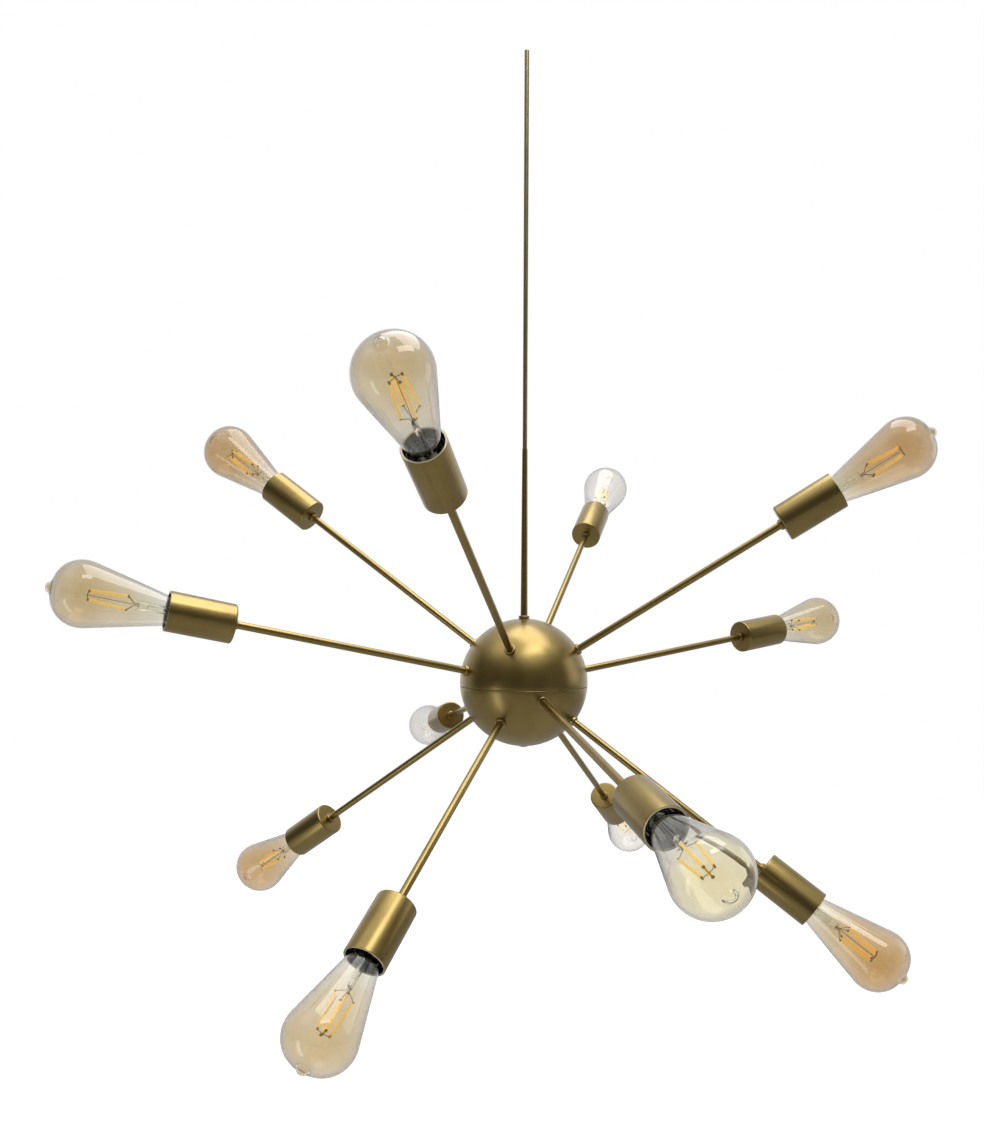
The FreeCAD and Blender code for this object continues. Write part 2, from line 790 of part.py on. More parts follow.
# ---------------------------------------------------------------- wiring
def build_wiring():
    keep("terminal_block", turned("terminal_block", [
        corner("block_bore", "block_foot"),
        corner("block_rim", "block_foot"),
        corner("block_radius", "block_ankle"),
        corner("block_radius", "block_shoulder"),
        corner("block_rim", "block_top"),
        corner("block_bore", "block_top"),
    ], HUB_FRAME))
    leads = []
    for arm in ARMS:
        rise = math.radians(abs(arm_angles(arm)[1]))
        clear = size("block_radius") + size("seat_gap") + size("lead_radius") * math.sin(rise)
        start = clear / math.cos(rise)
        lead = doc.addObject("Part::Cylinder", "lead_" + arm)
        lead.setExpression("Radius", bound("lead_radius"))
        lead.setExpression("Height", bound("lead_end") + " - %f" % start)
        lead.Placement = arm_frame(arm).multiply(FreeCAD.Placement(Vector(0, 0, start), FreeCAD.Rotation()))
        leads.append(lead)
    supply = doc.addObject("Part::Cylinder", "supply_lead")
    supply.setExpression("Radius", bound("supply_radius"))
    supply.setExpression("Height", bound("rod_reach") + " - " + bound("supply_end"))
    supply.Placement = HUB_FRAME.multiply(
        FreeCAD.Placement(Vector(0, 0, size("supply_end")), FreeCAD.Rotation()))
    keep_group("wiring", leads + [supply])


# ---------------------------------------------------------------- the whole lamp
def check_document():
    for item in doc.Objects:
        if {"Invalid", "Error"} & set(item.State):
            raise RuntimeError("%s did not build: %s" % (item.Label, item.State))
    for label, item in nodes.items():
        if item.Shape.isNull() or not item.Shape.isValid():
            raise RuntimeError(label + " has no valid shape")


def write_parts():
    os.makedirs("parts", exist_ok=True)
    for label, item in nodes.items():
        item.Shape.exportStep("parts/" + label + ".step")


build_hub()
for each_arm in ARMS:
    build_arm_tube(each_arm)
    build_lamp_cup(each_arm)
build_collars_and_nuts()
build_lampholders()
build_bulbs()
build_rod()
build_wiring()
doc.recompute()
check_document()
write_parts()
print(len(nodes), "sub-parts,", sum(len(item.Shape.Solids) for item in nodes.values()), "solids")
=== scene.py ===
"""Looks of the sputnik chandelier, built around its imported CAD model.

Metres, +Z up along the rod, whose top end is the origin. Every turned piece of an arm is drawn
along its own Z axis, measured outward from the hub's centre, and then laid along each arm.
"""

import json
import math

import bmesh
import bpy
from mathutils import Matrix, Vector


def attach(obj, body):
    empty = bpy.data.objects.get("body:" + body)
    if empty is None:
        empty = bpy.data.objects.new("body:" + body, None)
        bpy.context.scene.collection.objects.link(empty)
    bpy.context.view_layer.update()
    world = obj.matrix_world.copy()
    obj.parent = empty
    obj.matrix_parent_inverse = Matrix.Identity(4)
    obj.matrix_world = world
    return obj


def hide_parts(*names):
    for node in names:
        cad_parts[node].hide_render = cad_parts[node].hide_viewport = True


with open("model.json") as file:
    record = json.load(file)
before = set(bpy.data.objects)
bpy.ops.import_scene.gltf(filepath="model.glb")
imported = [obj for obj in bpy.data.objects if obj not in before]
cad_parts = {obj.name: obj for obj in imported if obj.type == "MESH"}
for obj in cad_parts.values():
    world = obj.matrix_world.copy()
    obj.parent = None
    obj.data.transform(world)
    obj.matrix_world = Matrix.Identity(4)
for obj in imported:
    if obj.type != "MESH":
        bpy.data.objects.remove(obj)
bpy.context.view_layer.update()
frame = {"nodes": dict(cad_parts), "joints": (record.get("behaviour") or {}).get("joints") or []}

# ---------------------------------------------------------------- sizes of the CAD model
SEAT_GAP = 0.00005
HUB_RADIUS = 0.073
HUB_WALL = 0.0015
SEAM_DROP = 0.004
SEAM_GAP = 0.0004
LAP_RISE = 0.002
LAP_WALL = 0.0012
LAP_DEPTH = 0.0014
ROD_HOLE = 0.0041
ROD_BREAK = 0.263
ROD_REACH = 0.692
ROD_FOOT_RADIUS = 0.004
ROD_WAIST_RADIUS = 0.003
ROD_TOP_RADIUS = 0.0026
ROD_BORE = 0.0023
ROD_TOP_BORE = 0.0016
ROD_SPIGOT = 0.012
WINDOW_WIDTH = 0.003
WINDOW_HEIGHT = 0.014
SCREW_HOLE = 0.0023
TUBE_RADIUS = 0.004
TUBE_BORE = 0.003
TUBE_TAIL = 0.0085
COLLAR_RADIUS = 0.0062
COLLAR_RISE = 0.0032

CUP_PLACE = 0.330       # back of the cup, from the ball's centre
CUP_MOUTH = 0.394       # front of the cup, from the ball's centre
CUP_RADIUS = 0.020
CUP_WALL = 0.0012
CUP_FLOOR = 0.0015
RING_RADIUS = 0.006
RING_HEIGHT = 0.004
RING_STEP = 0.0012

HOLDER_RADIUS = 0.0174
HOLDER_ENTRY = 0.010
CHAMBER_RADIUS = 0.012
CHAMBER_DEPTH = 0.008
HOLDER_FLOOR = 0.004
THROAT_RADIUS = 0.0158
SHELL_SEAT = 0.01373

CAP_RADIUS = 0.0131
CAP_WALL = 0.0006
CAP_BACK = 0.007        # the cap's rim inside the cup's mouth
CAP_LENGTH = 0.021
THREAD_PITCH = 0.00363
INSULATOR_HEIGHT = 0.003
INSULATOR_NOSE = 0.006
CONTACT_RADIUS = 0.0046
CONTACT_HEIGHT = 0.002

GLASS_WALL = 0.0009
NECK_RADIUS = 0.01242
NECK_DEPTH = 0.014      # of the glass inside the cap
MOUTH_RADIUS = 0.0149
BULB_RADIUS = 0.032
BELLY_PLACE = 0.075     # from the cup's mouth, like END_PLACE and the strips' ends
BELLY_ROUND = 0.027
END_PLACE = 0.103
FLARE_HEIGHT = 0.012
STEM_RADIUS = 0.0034
STRIP_LOW = 0.036
STRIP_HIGH = 0.070
STRIPS = 4

# ---------------------------------------------------------------- finer forms than the CAD model's
SEAM_ROUND = 0.0009
TUBE_END_ROUND = 0.0002
COLLAR_BEVEL = 0.0016

CUP_BACK_ROUND = 0.0018
CUP_LIP_ROUND = 0.0004
CUP_LIP_WALL = 0.0021
CUP_LIP_DEPTH = 0.0016
RING_EDGE_ROUND = 0.0004
RING_STEP_ROUND = 0.0003
RING_SHELF_ROUND = 0.0006

HOLDER_RECESS = 0.0065
HOLDER_BACK_ROUND = 0.001
HOLDER_FRONT_ROUND = 0.0005
THROAT_DEPTH = 0.013    # from the cup's mouth
THROAT_ROUND = 0.0003

CAP_FOOT_EDGE = 0.0006
CAP_RIM_EDGE = 0.0003
THREAD_DEPTH = 0.0008
THREAD_RIM_GAP = 0.003
THREAD_FOOT_GAP = 0.001
THREAD_FADE = 0.002
INSULATOR_ROUND = 0.0008
INSULATOR_EDGE = 0.0003
CONTACT_ROUND = 0.0014

SHOULDER_FOOT = 0.0003  # where the glass leaves the neck, above the cap's rim
SHOULDER_FOOT_ROUND = 0.0008
SHOULDER_RISE = 0.0010  # where it reaches the flank, above the cap's rim
SHOULDER_ROUND = 0.0006
NIPPLE_RADIUS = 0.0054
NIPPLE_TIP = 0.0040
NIPPLE_RISE = 0.0037
NIPPLE_ROUND = 0.0034
NIPPLE_FILLET = 0.0040

STEM_TOP = 0.027        # from the cup's mouth
STEM_BORE = 0.0021
STEM_BORE_ROUND = 0.001
STEM_TOP_ROUND = 0.0012
STEM_FILLET = 0.006
FLARE_EDGE = 0.0003
PINCH_LENGTH = 0.009
PINCH_EASE = 0.5        # share of the pinch over which the stem's tube flattens
PINCH_WIDENING = 0.35
PINCH_FLATTENING = 0.55

STRIP_SPLAY = 0.0092    # from the bulb's axis at the neck end
STRIP_PINCH = 0.0060    # from the bulb's axis at the tip end
STRIP_WIDTH = 0.0028
STRIP_DEPTH = 0.0024
STRIP_TRIM = 0.001
TAB_WIDTH = 0.9         # share of the strip's width
TAB_DEPTH = 0.7         # share of the strip's depth
TAB_OUTSIDE = 0.0006
TAB_INSIDE = 0.0012
WIRE_RADIUS = 0.0003
WIRE_ROOT_DEPTH = 0.002
WIRE_ROOT_REACH = 0.0018
WIRE_RISE = 0.005
WIRE_TIP_RISE = 0.0012
ELBOW_REACH = 0.55      # share of the strips' splay
ELBOW_DROP = 0.0035
COIL_BENDS = 6
COIL_SWAY = 0.0005

# ---------------------------------------------------------------- fineness of the meshes
BALL_SIDES = 192
CUP_SIDES = 128
HOLDER_SIDES = 96
CAP_SIDES = 72
CAP_RINGS = 72
RING_SIDES = 64
TUBE_SIDES = 48
STRIP_SIDES = 20
WIRE_SIDES = 8
WIRE_STEPS = 6
COIL_STEPS = 3
BALL_STEP = math.radians(3)
ARC_STEP = math.radians(5)
ROUND_STEP = math.radians(12)
SHARP_ANGLE = math.radians(40)
CORNER_SHARE = 0.48     # of a side, at most, is taken by a rounded corner
SQUARENESS = 4          # of a strip's section, where 2 is an ellipse
ON_AXIS = 1e-6          # closer to the axis than this counts as on it
ALONG = 0.95            # a cosine above this counts as the same direction

# ---------------------------------------------------------------- places that follow
UP = Vector((0, 0, 1))
CAP_RIM = CUP_MOUTH - CAP_BACK
CAP_FOOT = CAP_RIM - CAP_LENGTH
NECK_FOOT = CAP_RIM - NECK_DEPTH
BELLY_HEIGHT = CUP_MOUTH + BELLY_PLACE
BELLY_OFFSET = BULB_RADIUS - BELLY_ROUND
FLANK_SPREAD = MOUTH_RADIUS - BELLY_OFFSET
FLANK_SPAN = math.hypot(BELLY_PLACE, FLANK_SPREAD)
FLANK_SLOPE = math.asin(BELLY_ROUND / FLANK_SPAN) - math.atan2(FLANK_SPREAD, BELLY_PLACE)
END_HEIGHT = CUP_MOUTH + END_PLACE
END_EXCESS = END_PLACE - BELLY_PLACE - BELLY_ROUND
END_BACK = (BELLY_OFFSET ** 2 - END_EXCESS ** 2) / (2 * END_EXCESS)
END_CENTRE = BELLY_HEIGHT - END_BACK
END_ROUND = END_HEIGHT - END_CENTRE
BLEND_ANGLE = math.atan2(END_BACK, BELLY_OFFSET)

hinges = [joint for joint in frame["joints"] if joint["type"] == "hinge"]
ARMS = {joint["name"][-1]: Vector(joint["axis"]) for joint in hinges}
HUB = Vector(hinges[0]["pos_m"]) - CUP_MOUTH * Vector(hinges[0]["axis"])


def laid_along(direction):
    """Hub centre, with the local Z axis running out in a direction, as the CAD model turns it."""
    turn = Matrix.Rotation(math.atan2(direction.y, direction.x), 4, "Z")
    tip = Matrix.Rotation(math.acos(direction.z), 4, "Y")
    return Matrix.Translation(HUB) @ turn @ tip


ARM_FRAMES = {arm: laid_along(direction) for arm, direction in ARMS.items()}
ROD_FRAME = Matrix.Translation(HUB)


# ---------------------------------------------------------------- outlines and meshes
def arc(centre, radius, first, last, step=ARC_STEP):
    """Outline points along an arc, from one angle to another."""
    turns = max(2, math.ceil(abs(last - first) / step))
    angles = [first + (last - first) * index / turns for index in range(turns + 1)]
    return [Vector(centre) + radius * Vector((math.cos(angle), math.sin(angle)))
            for angle in angles]


def rounded(corners):
    """Outline points (radius, height) from corners, where a corner's third number rounds it."""
    points = []
    for number, corner in enumerate(corners):
        place = Vector(corner[:2])
        if len(corner) == 2:
            points.append(place)
            continue
        before = Vector(corners[number - 1][:2]) - place
        after = Vector(corners[(number + 1) % len(corners)][:2]) - place
        half = before.angle(after) / 2
        reach = min(corner[2] / math.tan(half),
                    CORNER_SHARE * before.length, CORNER_SHARE * after.length)
        radius = reach * math.tan(half)
        inward = (before.normalized() + after.normalized()).normalized()
        centre = place + inward * math.hypot(reach, radius)
        start = place + before.normalized() * reach - centre
        end = place + after.normalized() * reach - centre
        first = math.atan2(start.y, start.x)
        turn = math.atan2(end.y, end.x) - first
        turn = (turn + math.pi) % (2 * math.pi) - math.pi
        points += arc(centre, radius, first, first + turn, ROUND_STEP)
    return points


def finished(name, build):
    """A mesh from a bmesh: smooth faces, sharp edges, and each point's place as drawn, for
    finishes that follow the turned form."""
    bmesh.ops.recalc_face_normals(build, faces=build.faces)
    mesh = bpy.data.meshes.new(name)
    build.to_mesh(mesh)
    build.free()
    mesh.validate()
    mesh.shade_smooth()
    mesh.set_sharp_from_angle(angle=SHARP_ANGLE)
    drawn = mesh.attributes.new("drawn", "FLOAT_VECTOR", "POINT")
    for vertex in mesh.vertices:
        drawn.data[vertex.index].vector = vertex.co
    return mesh


def lathe(name, outline, sides, wave=None):
    """A mesh turned about Z from a closed outline of (radius, height) points. A wave changes a
    point's radius by its angle."""
    build = bmesh.new()
    rings = []
    for radius, height in outline:
        if radius < ON_AXIS:
            rings.append([build.verts.new((0, 0, height))])
            continue
        ring = []
        for side in range(sides):
            angle = 2 * math.pi * side / sides
            reach = radius + (wave(radius, height, angle) if wave else 0)
            ring.append(build.verts.new((reach * math.cos(angle), reach * math.sin(angle), height)))
        rings.append(ring)
    for low, high in zip(rings, rings[1:] + rings[:1]):
        for side in range(sides):
            following = (side + 1) % sides
            corners = [low[side % len(low)], low[following % len(low)],
                       high[following % len(high)], high[side % len(high)]]
            distinct = list(dict.fromkeys(corners))
            if len(distinct) > 2:
                build.faces.new(distinct)
    return finished(name, build)


def smooth_path(points, steps=WIRE_STEPS):
    """Points of a smooth line through a few points."""
    padded = [2 * points[0] - points[1]] + points + [2 * points[-1] - points[-2]]
    path = []
    for before, start, end, after in zip(padded, padded[1:], padded[2:], padded[3:]):
        for index in range(steps):
            share = index / steps
            path.append(0.5 * (2 * start + share * (end - before)
                               + share ** 2 * (2 * before - 5 * start + 4 * end - after)
                               + share ** 3 * (3 * start - before - 3 * end + after)))
    return path + [points[-1]]


def sweep(build, path, section):
    """Add a bar to a bmesh: a section of (across, deep) points carried along a path."""
    rings = []
    out = Vector((path[0].x, path[0].y, 0))
    side = out if out.length > ON_AXIS else Vector((1, 0, 0))
    for index, place in enumerate(path):
        heading = (path[min(index + 1, len(path) - 1)] - path[max(index - 1, 0)]).normalized()
        if abs(heading.dot(side.normalized())) > ALONG:
            side = heading.orthogonal()
        across = heading.cross(side).normalized()
        deep = across.cross(heading).normalized()
        rings.append([build.verts.new(place + across * x + deep * y) for x, y in section])
    for low, high in zip(rings, rings[1:]):
        for number in range(len(section)):
            following = (number + 1) % len(section)
            build.faces.new((low[number], low[following], high[following], high[number]))
    build.faces.new(rings[0][::-1])
    build.faces.new(rings[-1])


def round_section(radius):
    """Section of a wire."""
    angles = [2 * math.pi * side / WIRE_SIDES for side in range(WIRE_SIDES)]
    return [(radius * math.cos(angle), radius * math.sin(angle)) for angle in angles]


def strip_section(width, depth):
    """Section of a flat strip with well rounded edges."""
    section = []
    for side in range(STRIP_SIDES):
        angle = 2 * math.pi * side / STRIP_SIDES
        cosine = math.cos(angle)
        sine = math.sin(angle)
        size = (abs(cosine) ** SQUARENESS + abs(sine) ** SQUARENESS) ** (-1 / SQUARENESS)
        section.append((width / 2 * size * cosine, depth / 2 * size * sine))
    return section


def mesh_of(name, bars):
    """One mesh from several (path, section) bars."""
    build = bmesh.new()
    for path, section in bars:
        sweep(build, path, section)
    return finished(name, build)


def coated(mesh, *materials):
    """The mesh, with its materials."""
    for material in materials:
        mesh.materials.append(material)
    return mesh


def put(name, mesh, matrix, body, material_slot, *replaced):
    """Show a copy of a mesh, laid in a frame and riding a CAD body, in place of CAD nodes."""
    laid = mesh.copy()
    laid.name = name
    laid.transform(matrix)
    piece = bpy.data.objects.new(name, laid)
    bpy.context.scene.collection.objects.link(piece)
    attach(piece, body)
    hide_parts(*replaced)
    return piece


# ---------------------------------------------------------------- shader nodes
# levels of a noise between which one tone or value gives way to another
WIDE_BLEND = (0.30, 0.70)
CLOUD_BLEND = (0.32, 0.66)
GRAIN_BLEND = (0.35, 0.65)


def new_material(name):
    """A material with its node tree and its shader."""
    material = bpy.data.materials.new(name)
    material.use_nodes = True
    return material, material.node_tree, material.node_tree.nodes["Principled BSDF"]


def feed(tree, source, socket):
    """Give a socket the value of another socket, or a constant."""
    if isinstance(source, bpy.types.NodeSocket):
        tree.links.new(source, socket)
    else:
        socket.default_value = source


def drawn_place(tree):
    """Where a point was drawn on its turned piece, before the piece was laid along its arm."""
    node = tree.nodes.new("ShaderNodeAttribute")
    node.attribute_name = "drawn"
    return node.outputs["Vector"]


def part_of(tree, place, axis):
    """The X, Y or Z part of a place."""
    split = tree.nodes.new("ShaderNodeSeparateXYZ")
    tree.links.new(place, split.inputs["Vector"])
    return split.outputs[axis]


def noise(tree, scale, stretch=(1, 1, 1), detail=2.0, drawn=False):
    """Noise over the whole lamp, or over a turned piece as drawn, stretched for each axis."""
    place = drawn_place(tree) if drawn else tree.nodes.new("ShaderNodeTexCoord").outputs["Object"]
    mapping = tree.nodes.new("ShaderNodeMapping")
    mapping.inputs["Scale"].default_value = stretch
    texture = tree.nodes.new("ShaderNodeTexNoise")
    texture.inputs["Scale"].default_value = scale
    texture.inputs["Detail"].default_value = detail
    tree.links.new(place, mapping.inputs["Vector"])
    tree.links.new(mapping.outputs["Vector"], texture.inputs["Vector"])
    return texture.outputs["Fac"]


def ramp(tree, source, places, tones):
    """Colour ramp through tones at their places."""
    node = tree.nodes.new("ShaderNodeValToRGB")
    elements = node.color_ramp.elements
    while len(elements) < len(tones):
        elements.new(0.5)
    for element, place, tone in zip(elements, places, tones):
        element.position = place
        element.color = (*tone, 1)
    tree.links.new(source, node.inputs["Fac"])
    return node.outputs["Color"]


def remapped(tree, source, span, low=0.0, high=1.0):
    """A value that runs from low to high as the source goes over a span."""
    node = tree.nodes.new("ShaderNodeMapRange")
    node.inputs["From Min"].default_value = span[0]
    node.inputs["From Max"].default_value = span[1]
    node.inputs["To Min"].default_value = low
    node.inputs["To Max"].default_value = high
    tree.links.new(source, node.inputs["Value"])
    return node.outputs["Result"]


def worked_out(tree, operation, first, second):
    """The result of a sum on two sockets or numbers."""
    node = tree.nodes.new("ShaderNodeMath")
    node.operation = operation
    feed(tree, first, node.inputs[0])
    feed(tree, second, node.inputs[1])
    return node.outputs["Value"]


def mixed(tree, factor, first, second, blend="MIX"):
    """One colour laid over another by a factor. Each of the three is a constant or a socket."""
    node = tree.nodes.new("ShaderNodeMix")
    node.data_type = "RGBA"
    node.blend_type = blend
    feed(tree, factor, node.inputs["Factor"])
    feed(tree, first, node.inputs["A"])
    feed(tree, second, node.inputs["B"])
    return node.outputs["Result"]


def looked_at(tree):
    """1 where the camera looks, straight or through glass, and 0 where light only bounces."""
    paths = tree.nodes.new("ShaderNodeLightPath")
    return worked_out(tree, "MAXIMUM",
                      paths.outputs["Is Camera Ray"], paths.outputs["Is Transmission Ray"])


def raised(tree, shader, source, depth, strength=1.0):
    """Fine relief that follows a noise."""
    bump = tree.nodes.new("ShaderNodeBump")
    bump.inputs["Strength"].default_value = strength
    bump.inputs["Distance"].default_value = depth
    tree.links.new(source, bump.inputs["Height"])
    tree.links.new(bump.outputs["Normal"], shader.inputs["Normal"])


# ---------------------------------------------------------------- brass
LACQUER = 0.75
LACQUER_ROUGHNESS = 0.25
BRASS_ROUGHNESS = (0.29, 0.33)
BRASS_CLOUDS = 22
BRASS_GRAIN = 90
BRASS_RELIEF = 0.00001
GRAIN_STRENGTH = 0.01
BRUSH_STRETCH = (900, 900, 22)
BRUSH_STRENGTH = 0.06


def brass(name, tone, deep_tone, brushed=False):
    """Satin brass under clear lacquer: cloudy tone, and brush marks along a turned piece."""
    material, tree, shader = new_material(name)
    shader.inputs["Metallic"].default_value = 1
    shader.inputs["Coat Weight"].default_value = LACQUER
    shader.inputs["Coat Roughness"].default_value = LACQUER_ROUGHNESS
    clouds = noise(tree, BRASS_CLOUDS, detail=4)
    tree.links.new(ramp(tree, clouds, CLOUD_BLEND, (deep_tone, tone)), shader.inputs["Base Color"])
    if brushed:
        marks = noise(tree, 1, BRUSH_STRETCH, detail=3, drawn=True)
    else:
        marks = noise(tree, BRASS_GRAIN)
    roughness = remapped(tree, marks, WIDE_BLEND, *BRASS_ROUGHNESS)
    tree.links.new(roughness, shader.inputs["Roughness"])
    raised(tree, shader, marks, BRASS_RELIEF, BRUSH_STRENGTH if brushed else GRAIN_STRENGTH)
    return material


BRASS_TONES = ((0.395, 0.282, 0.080), (0.315, 0.218, 0.056))
BRASS = brass("satin_brass", *BRASS_TONES)
BRUSHED_BRASS = brass("brushed_brass", *BRASS_TONES, brushed=True)
BARE_BRASS = brass("bare_brass", (0.62, 0.57, 0.42), (0.54, 0.49, 0.34))
# painted highlight: the collars take a lighter copy of the satin brass so that they read as bright
# rings
LIT_COLLAR_BRASS = brass("collar_brass", (0.47, 0.36, 0.13), (0.40, 0.29, 0.10))
PALE_BRASS = brass("pale_brass", (0.52, 0.44, 0.21), (0.45, 0.37, 0.17))


# ---------------------------------------------------------------- plain finishes
def plain_finish(name, tones, roughness, grain, depth, metallic=0.0, painted_glow=0.0):
    """A moulded, drawn or sheathed surface: two close tones, fine grain, and a slightly uneven
    gloss. A painted glow in the lighter tone can make a surface shine though it is no lamp."""
    material, tree, shader = new_material(name)
    shader.inputs["Metallic"].default_value = metallic
    texture = noise(tree, grain, detail=3)
    tree.links.new(ramp(tree, texture, GRAIN_BLEND, tones), shader.inputs["Base Color"])
    tree.links.new(remapped(tree, texture, WIDE_BLEND, *roughness), shader.inputs["Roughness"])
    # painted glow: emission in the lighter tone, zero unless asked for
    shader.inputs["Emission Color"].default_value = (*tones[1], 1)
    shader.inputs["Emission Strength"].default_value = painted_glow
    raised(tree, shader, texture, depth)
    return material


NICKEL = plain_finish(
    "nickel", ((0.55, 0.54, 0.50), (0.66, 0.65, 0.61)),
    roughness=(0.18, 0.30), grain=500, depth=0.00001, metallic=1.0)
HOLDER_BLACK = plain_finish(
    "black_moulding", ((0.010, 0.010, 0.010), (0.018, 0.017, 0.016)),
    roughness=(0.28, 0.42), grain=900, depth=0.00002)
CAP_INSULATOR = plain_finish(
    "black_cap_glass", ((0.008, 0.008, 0.009), (0.016, 0.015, 0.015)),
    roughness=(0.08, 0.2), grain=300, depth=0.00001)
CERAMIC = plain_finish(
    "glazed_block", ((0.74, 0.73, 0.69), (0.82, 0.81, 0.77)),
    roughness=(0.25, 0.4), grain=400, depth=0.00002)
SHEATH = plain_finish(
    "lead_sheath", ((0.62, 0.50, 0.26), (0.72, 0.60, 0.34)),
    roughness=(0.4, 0.55), grain=800, depth=0.00003)
# the unlit filament coating carries a painted glow
PHOSPHOR = plain_finish(
    "filament_coating", ((0.96, 0.66, 0.20), (1.0, 0.76, 0.30)),
    roughness=(0.35, 0.55), grain=1400, depth=0.00004, painted_glow=0.45)
DARK_WIRE = plain_finish(
    "dark_wire", ((0.24, 0.17, 0.09), (0.36, 0.27, 0.15)),
    roughness=(0.25, 0.45), grain=1500, depth=0.00001, metallic=1.0)

# ---------------------------------------------------------------- glass
GLASS_IOR = 1.5
TINT_PLACES = (0.0, 0.35, 0.75)
CLOUD_TONE = (0.93, 0.93, 0.90)
CLOUD_SHARE = 0.25
CLOUD_SCALE = 24
# painted edge shade: a grey rim and a thin dark edge put into the glass's colour where it turns
# away
PAINTED_RIM_GREY = (0.86, 0.85, 0.87)
RIM_NARROWNESS = 1.2
PAINTED_EDGE_SHADE = (0.10, 0.10, 0.11)
EDGE_NARROWNESS = 3.2
SMEAR_SCALE = 60
SMEAR_ROUGHNESS = (0.0, 0.012)
BLOWN_SCALE = 35
BLOWN_RELIEF = 0.0002
BLOWN_STRENGTH = 0.25

STEM_TONES = ((0.92, 0.95, 0.90), (0.99, 0.99, 0.96))
STEM_TONE_SCALE = 150
# painted edge shade of the stem, where it turns away
STEM_PAINTED_EDGE_SHADE = (0.45, 0.47, 0.42)
STEM_EDGE_NARROWNESS = 2.5
STEM_SMEAR_SCALE = 400
STEM_ROUGHNESS = (0.05, 0.22)
STEM_RIPPLE_SCALE = 260
STEM_RELIEF = 0.0003
STEM_STRENGTH = 0.5


def new_glass(name):
    """A clear glass with its node tree and its shader."""
    material, tree, shader = new_material(name)
    shader.inputs["Transmission Weight"].default_value = 1
    shader.inputs["IOR"].default_value = GLASS_IOR
    return material, tree, shader


def painted_edge_shade(tree, colour, shade_tone, narrowness):
    """Painted edge shade: the glass changes tone where it turns away, in an edge that narrowness
    makes thinner, standing in for the dark glancing reflections at its edges.
    """
    facing = tree.nodes.new("ShaderNodeLayerWeight")
    facing.inputs["Blend"].default_value = 0.5
    edge = worked_out(tree, "POWER", facing.outputs["Facing"], narrowness)
    return mixed(tree, edge, colour, (*shade_tone, 1))


def envelope_glass(name, neck, flank, belly):
    """Blown glass whose tint changes from the neck over the flank to the belly, in soft clouds,
    with a painted grey rim and a painted dark edge where it turns away.
    """
    material, tree, shader = new_glass(name)
    height = remapped(tree, part_of(tree, drawn_place(tree), "Z"), (CUP_MOUTH, END_HEIGHT))
    tint = ramp(tree, height, TINT_PLACES, (neck, flank, belly))
    clouds = remapped(tree, noise(tree, CLOUD_SCALE, detail=1.5), WIDE_BLEND)
    tint = mixed(tree, worked_out(tree, "MULTIPLY", clouds, CLOUD_SHARE), tint, (*CLOUD_TONE, 1))
    # painted edge shade: the grey rim first, then the thin dark edge
    tint = painted_edge_shade(tree, tint, PAINTED_RIM_GREY, RIM_NARROWNESS)
    tint = painted_edge_shade(tree, tint, PAINTED_EDGE_SHADE, EDGE_NARROWNESS)
    tree.links.new(tint, shader.inputs["Base Color"])
    smears = remapped(tree, noise(tree, SMEAR_SCALE), WIDE_BLEND, *SMEAR_ROUGHNESS)
    tree.links.new(smears, shader.inputs["Roughness"])
    raised(tree, shader, noise(tree, BLOWN_SCALE, detail=1), BLOWN_RELIEF, BLOWN_STRENGTH)
    return material


def stem_glass():
    """Rippled and slightly smoky glass of the stem inside a bulb, with painted edge shade where it
    turns away.
    """
    material, tree, shader = new_glass("stem_glass")
    tint = ramp(tree, noise(tree, STEM_TONE_SCALE), WIDE_BLEND, STEM_TONES)
    # painted edge shade
    tint = painted_edge_shade(tree, tint, STEM_PAINTED_EDGE_SHADE, STEM_EDGE_NARROWNESS)
    tree.links.new(tint, shader.inputs["Base Color"])
    smears = remapped(tree, noise(tree, STEM_SMEAR_SCALE), WIDE_BLEND, *STEM_ROUGHNESS)
    tree.links.new(smears, shader.inputs["Roughness"])
    raised(tree, shader, noise(tree, STEM_RIPPLE_SCALE, detail=1), STEM_RELIEF, STEM_STRENGTH)
    return material


CLEAR_BULB = envelope_glass(
    "clear_envelope", neck=(0.90, 0.90, 0.89), flank=(0.89, 0.88, 0.86), belly=(0.87, 0.85, 0.80))
STRAW_BULB = envelope_glass(
    "straw_envelope", neck=(0.86, 0.85, 0.82), flank=(0.82, 0.78, 0.66), belly=(0.79, 0.74, 0.55))
AMBER_BULB = envelope_glass(
    "amber_envelope", neck=(0.80, 0.79, 0.74), flank=(0.72, 0.65, 0.50), belly=(0.68, 0.58, 0.39))
TAN_BULB = envelope_glass(
    "tan_envelope", neck=(0.72, 0.68, 0.58), flank=(0.66, 0.54, 0.36), belly=(0.64, 0.48, 0.27))
STEM_GLASS = stem_glass()

GLASS_OF_ARMS = (("dgl", CLEAR_BULB), ("j", STRAW_BULB), ("acfi", AMBER_BULB), ("behk", TAN_BULB))
BULB_GLASS = {arm: glass for arms, glass in GLASS_OF_ARMS for arm in arms}


# ---------------------------------------------------------------- ball and rod
def edge_of(radius, height):
    """Distance from the axis of a ball's side at a height, or the height at a distance."""
    return math.sqrt(radius ** 2 - height ** 2)


def ball_side(radius, first, last):
    """Points of the ball's side between two heights, the ends left out."""
    points = arc((0, 0), radius, math.asin(first / radius), math.asin(last / radius), BALL_STEP)
    return [tuple(point) for point in points[1:-1]]


